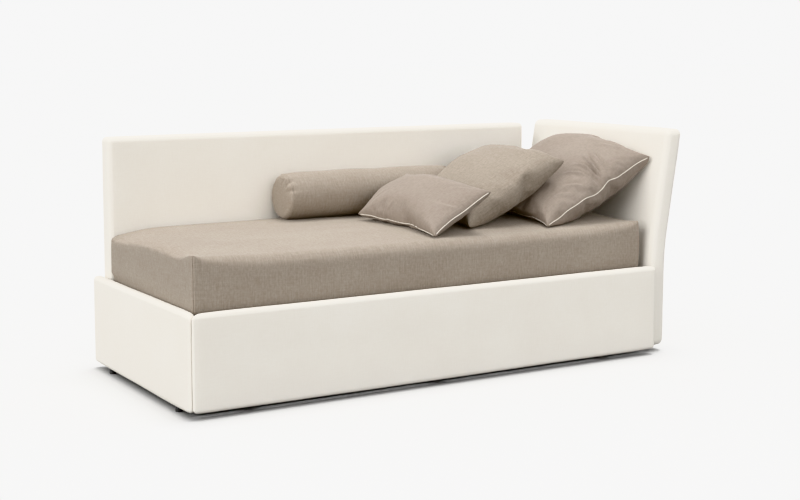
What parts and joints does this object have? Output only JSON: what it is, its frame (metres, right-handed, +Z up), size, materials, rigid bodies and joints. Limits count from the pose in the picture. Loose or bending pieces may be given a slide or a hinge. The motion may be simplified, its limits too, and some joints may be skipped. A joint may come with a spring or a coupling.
{
  "type": "sofa bed",
  "caption": "Corner sofa bed with upholstered panels, an outward-leaning head panel, a crowned mattress, a bolster, loose cushions and a pull-out bed that rolls out from under the front.",
  "frame": {"origin": "centre of the bounding box at floor level", "axes": "+X from the foot end to the leaning head panel, +Y from the open front to the back panel, +Z up"},
  "size_m": [2.245, 0.982, 0.932],
  "materials": {
    "ivory_upholstery": "matte",
    "panel_board": "matte",
    "mattress_linen": "matte",
    "foam": "matte",
    "cushion_plain": "matte",
    "cushion_heather": "matte",
    "piping": "matte",
    "frame_steel": "satin",
    "slat_wood": "satin",
    "cap_plastic": "matte",
    "glide_plastic": "matte",
    "fixings": "satin",
    "castor_plastic": "matte",
    "castor_rubber": "matte",
    "pull_out_ticking": "matte"
  },
  "bodies": {
    "bed": {"foot_panel_cover": "ivory_upholstery", "foot_panel_core": "panel_board", "back_panel_cover": "ivory_upholstery", "back_panel_core": "panel_board", "head_panel_cover": "ivory_upholstery", "head_panel_core": "panel_board", "main_front_rail": "frame_steel", "main_back_rail": "frame_steel", "main_foot_rail": "frame_steel", "main_centre_rail": "frame_steel", "main_head_rail": "frame_steel", "main_slats": "slat_wood", "main_slat_caps": "cap_plastic", "end_brackets": "frame_steel", "back_brackets": "frame_steel", "bracket_bolts": "fixings", "glide_feet": "glide_plastic", "glide_foot_studs": "fixings"},
    "pull_out_bed": {"front_panel_cover": "ivory_upholstery", "front_panel_core": "panel_board", "front_panel_brackets": "frame_steel", "pull_front_rail": "frame_steel", "pull_back_rail": "frame_steel", "pull_foot_rail": "frame_steel", "pull_centre_rail": "frame_steel", "pull_head_rail": "frame_steel", "pull_slats": "slat_wood", "pull_slat_caps": "cap_plastic", "pull_mattress_cover": "pull_out_ticking", "pull_mattress_core": "foam", "stop_tabs": "frame_steel", "castor_forks": "fixings", "castor_axles": "fixings", "pull_out_bolts": "fixings"},
    "mattress": {"mattress_cover": "mattress_linen", "mattress_core": "foam"},
    "bolster": {"bolster_cover": "mattress_linen", "bolster_pad": "foam"},
    "large_cushion": {"large_cushion_cover": "cushion_plain", "large_cushion_pad": "foam", "large_cushion_piping": "piping"},
    "mid_cushion": {"mid_cushion_cover": "cushion_heather", "mid_cushion_pad": "foam"},
    "small_cushion": {"small_cushion_cover": "cushion_plain", "small_cushion_pad": "foam", "small_cushion_piping": "piping"},
    "castor_wheel_a": {"castor_hub_a": "castor_plastic", "castor_tread_a": "castor_rubber"},
    "castor_wheel_b": {"castor_hub_b": "castor_plastic", "castor_tread_b": "castor_rubber"},
    "castor_wheel_c": {"castor_hub_c": "castor_plastic", "castor_tread_c": "castor_rubber"},
    "castor_wheel_d": {"castor_hub_d": "castor_plastic", "castor_tread_d": "castor_rubber"}
  },
  "joints": [
    {"name": "pull_out", "type": "slide", "parent": "bed", "child": "pull_out_bed", "axis": [0, -1, 0], "range_m": [0, 0.748]},
    {"name": "castor_roll_a", "type": "hinge", "parent": "pull_out_bed", "child": "castor_wheel_a", "pos_m": [-1.04604, -0.341, 0.038], "axis": [1, 0, 0], "range_deg": [-10, 1138]},
    {"name": "castor_roll_b", "type": "hinge", "parent": "pull_out_bed", "child": "castor_wheel_b", "pos_m": [-1.04604, 0.265, 0.038], "axis": [1, 0, 0], "range_deg": [-10, 1138]},
    {"name": "castor_roll_c", "type": "hinge", "parent": "pull_out_bed", "child": "castor_wheel_c", "pos_m": [0.91696, -0.341, 0.038], "axis": [1, 0, 0], "range_deg": [-10, 1138]},
    {"name": "castor_roll_d", "type": "hinge", "parent": "pull_out_bed", "child": "castor_wheel_d", "pos_m": [0.91696, 0.265, 0.038], "axis": [1, 0, 0], "range_deg": [-10, 1138]},
    {"name": "mattress_lift", "type": "slide", "parent": "bed", "child": "mattress", "axis": [0, 0, 1], "range_m": [0, 0.6]},
    {"name": "bolster_slide", "type": "slide", "parent": "mattress", "child": "bolster", "axis": [-1, 0, 0], "range_m": [0, 1.58]},
    {"name": "large_cushion_lift", "type": "slide", "parent": "mattress", "child": "large_cushion", "axis": [0, 0, 1], "range_m": [0, 0.5]},
    {"name": "mid_cushion_lift", "type": "slide", "parent": "large_cushion", "child": "mid_cushion", "axis": [0, 0, 1], "range_m": [0, 0.5]},
    {"name": "small_cushion_lift", "type": "slide", "parent": "mid_cushion", "child": "small_cushion", "axis": [0, 0, 1], "range_m": [0, 0.5]}
  ],
  "couplings": [
    {"joint": "castor_roll_a", "follows": "pull_out", "rad_per_m": 26.316},
    {"joint": "castor_roll_b", "follows": "pull_out", "rad_per_m": 26.316},
    {"joint": "castor_roll_c", "follows": "pull_out", "rad_per_m": 26.316},
    {"joint": "castor_roll_d", "follows": "pull_out", "rad_per_m": 26.316}
  ]
}
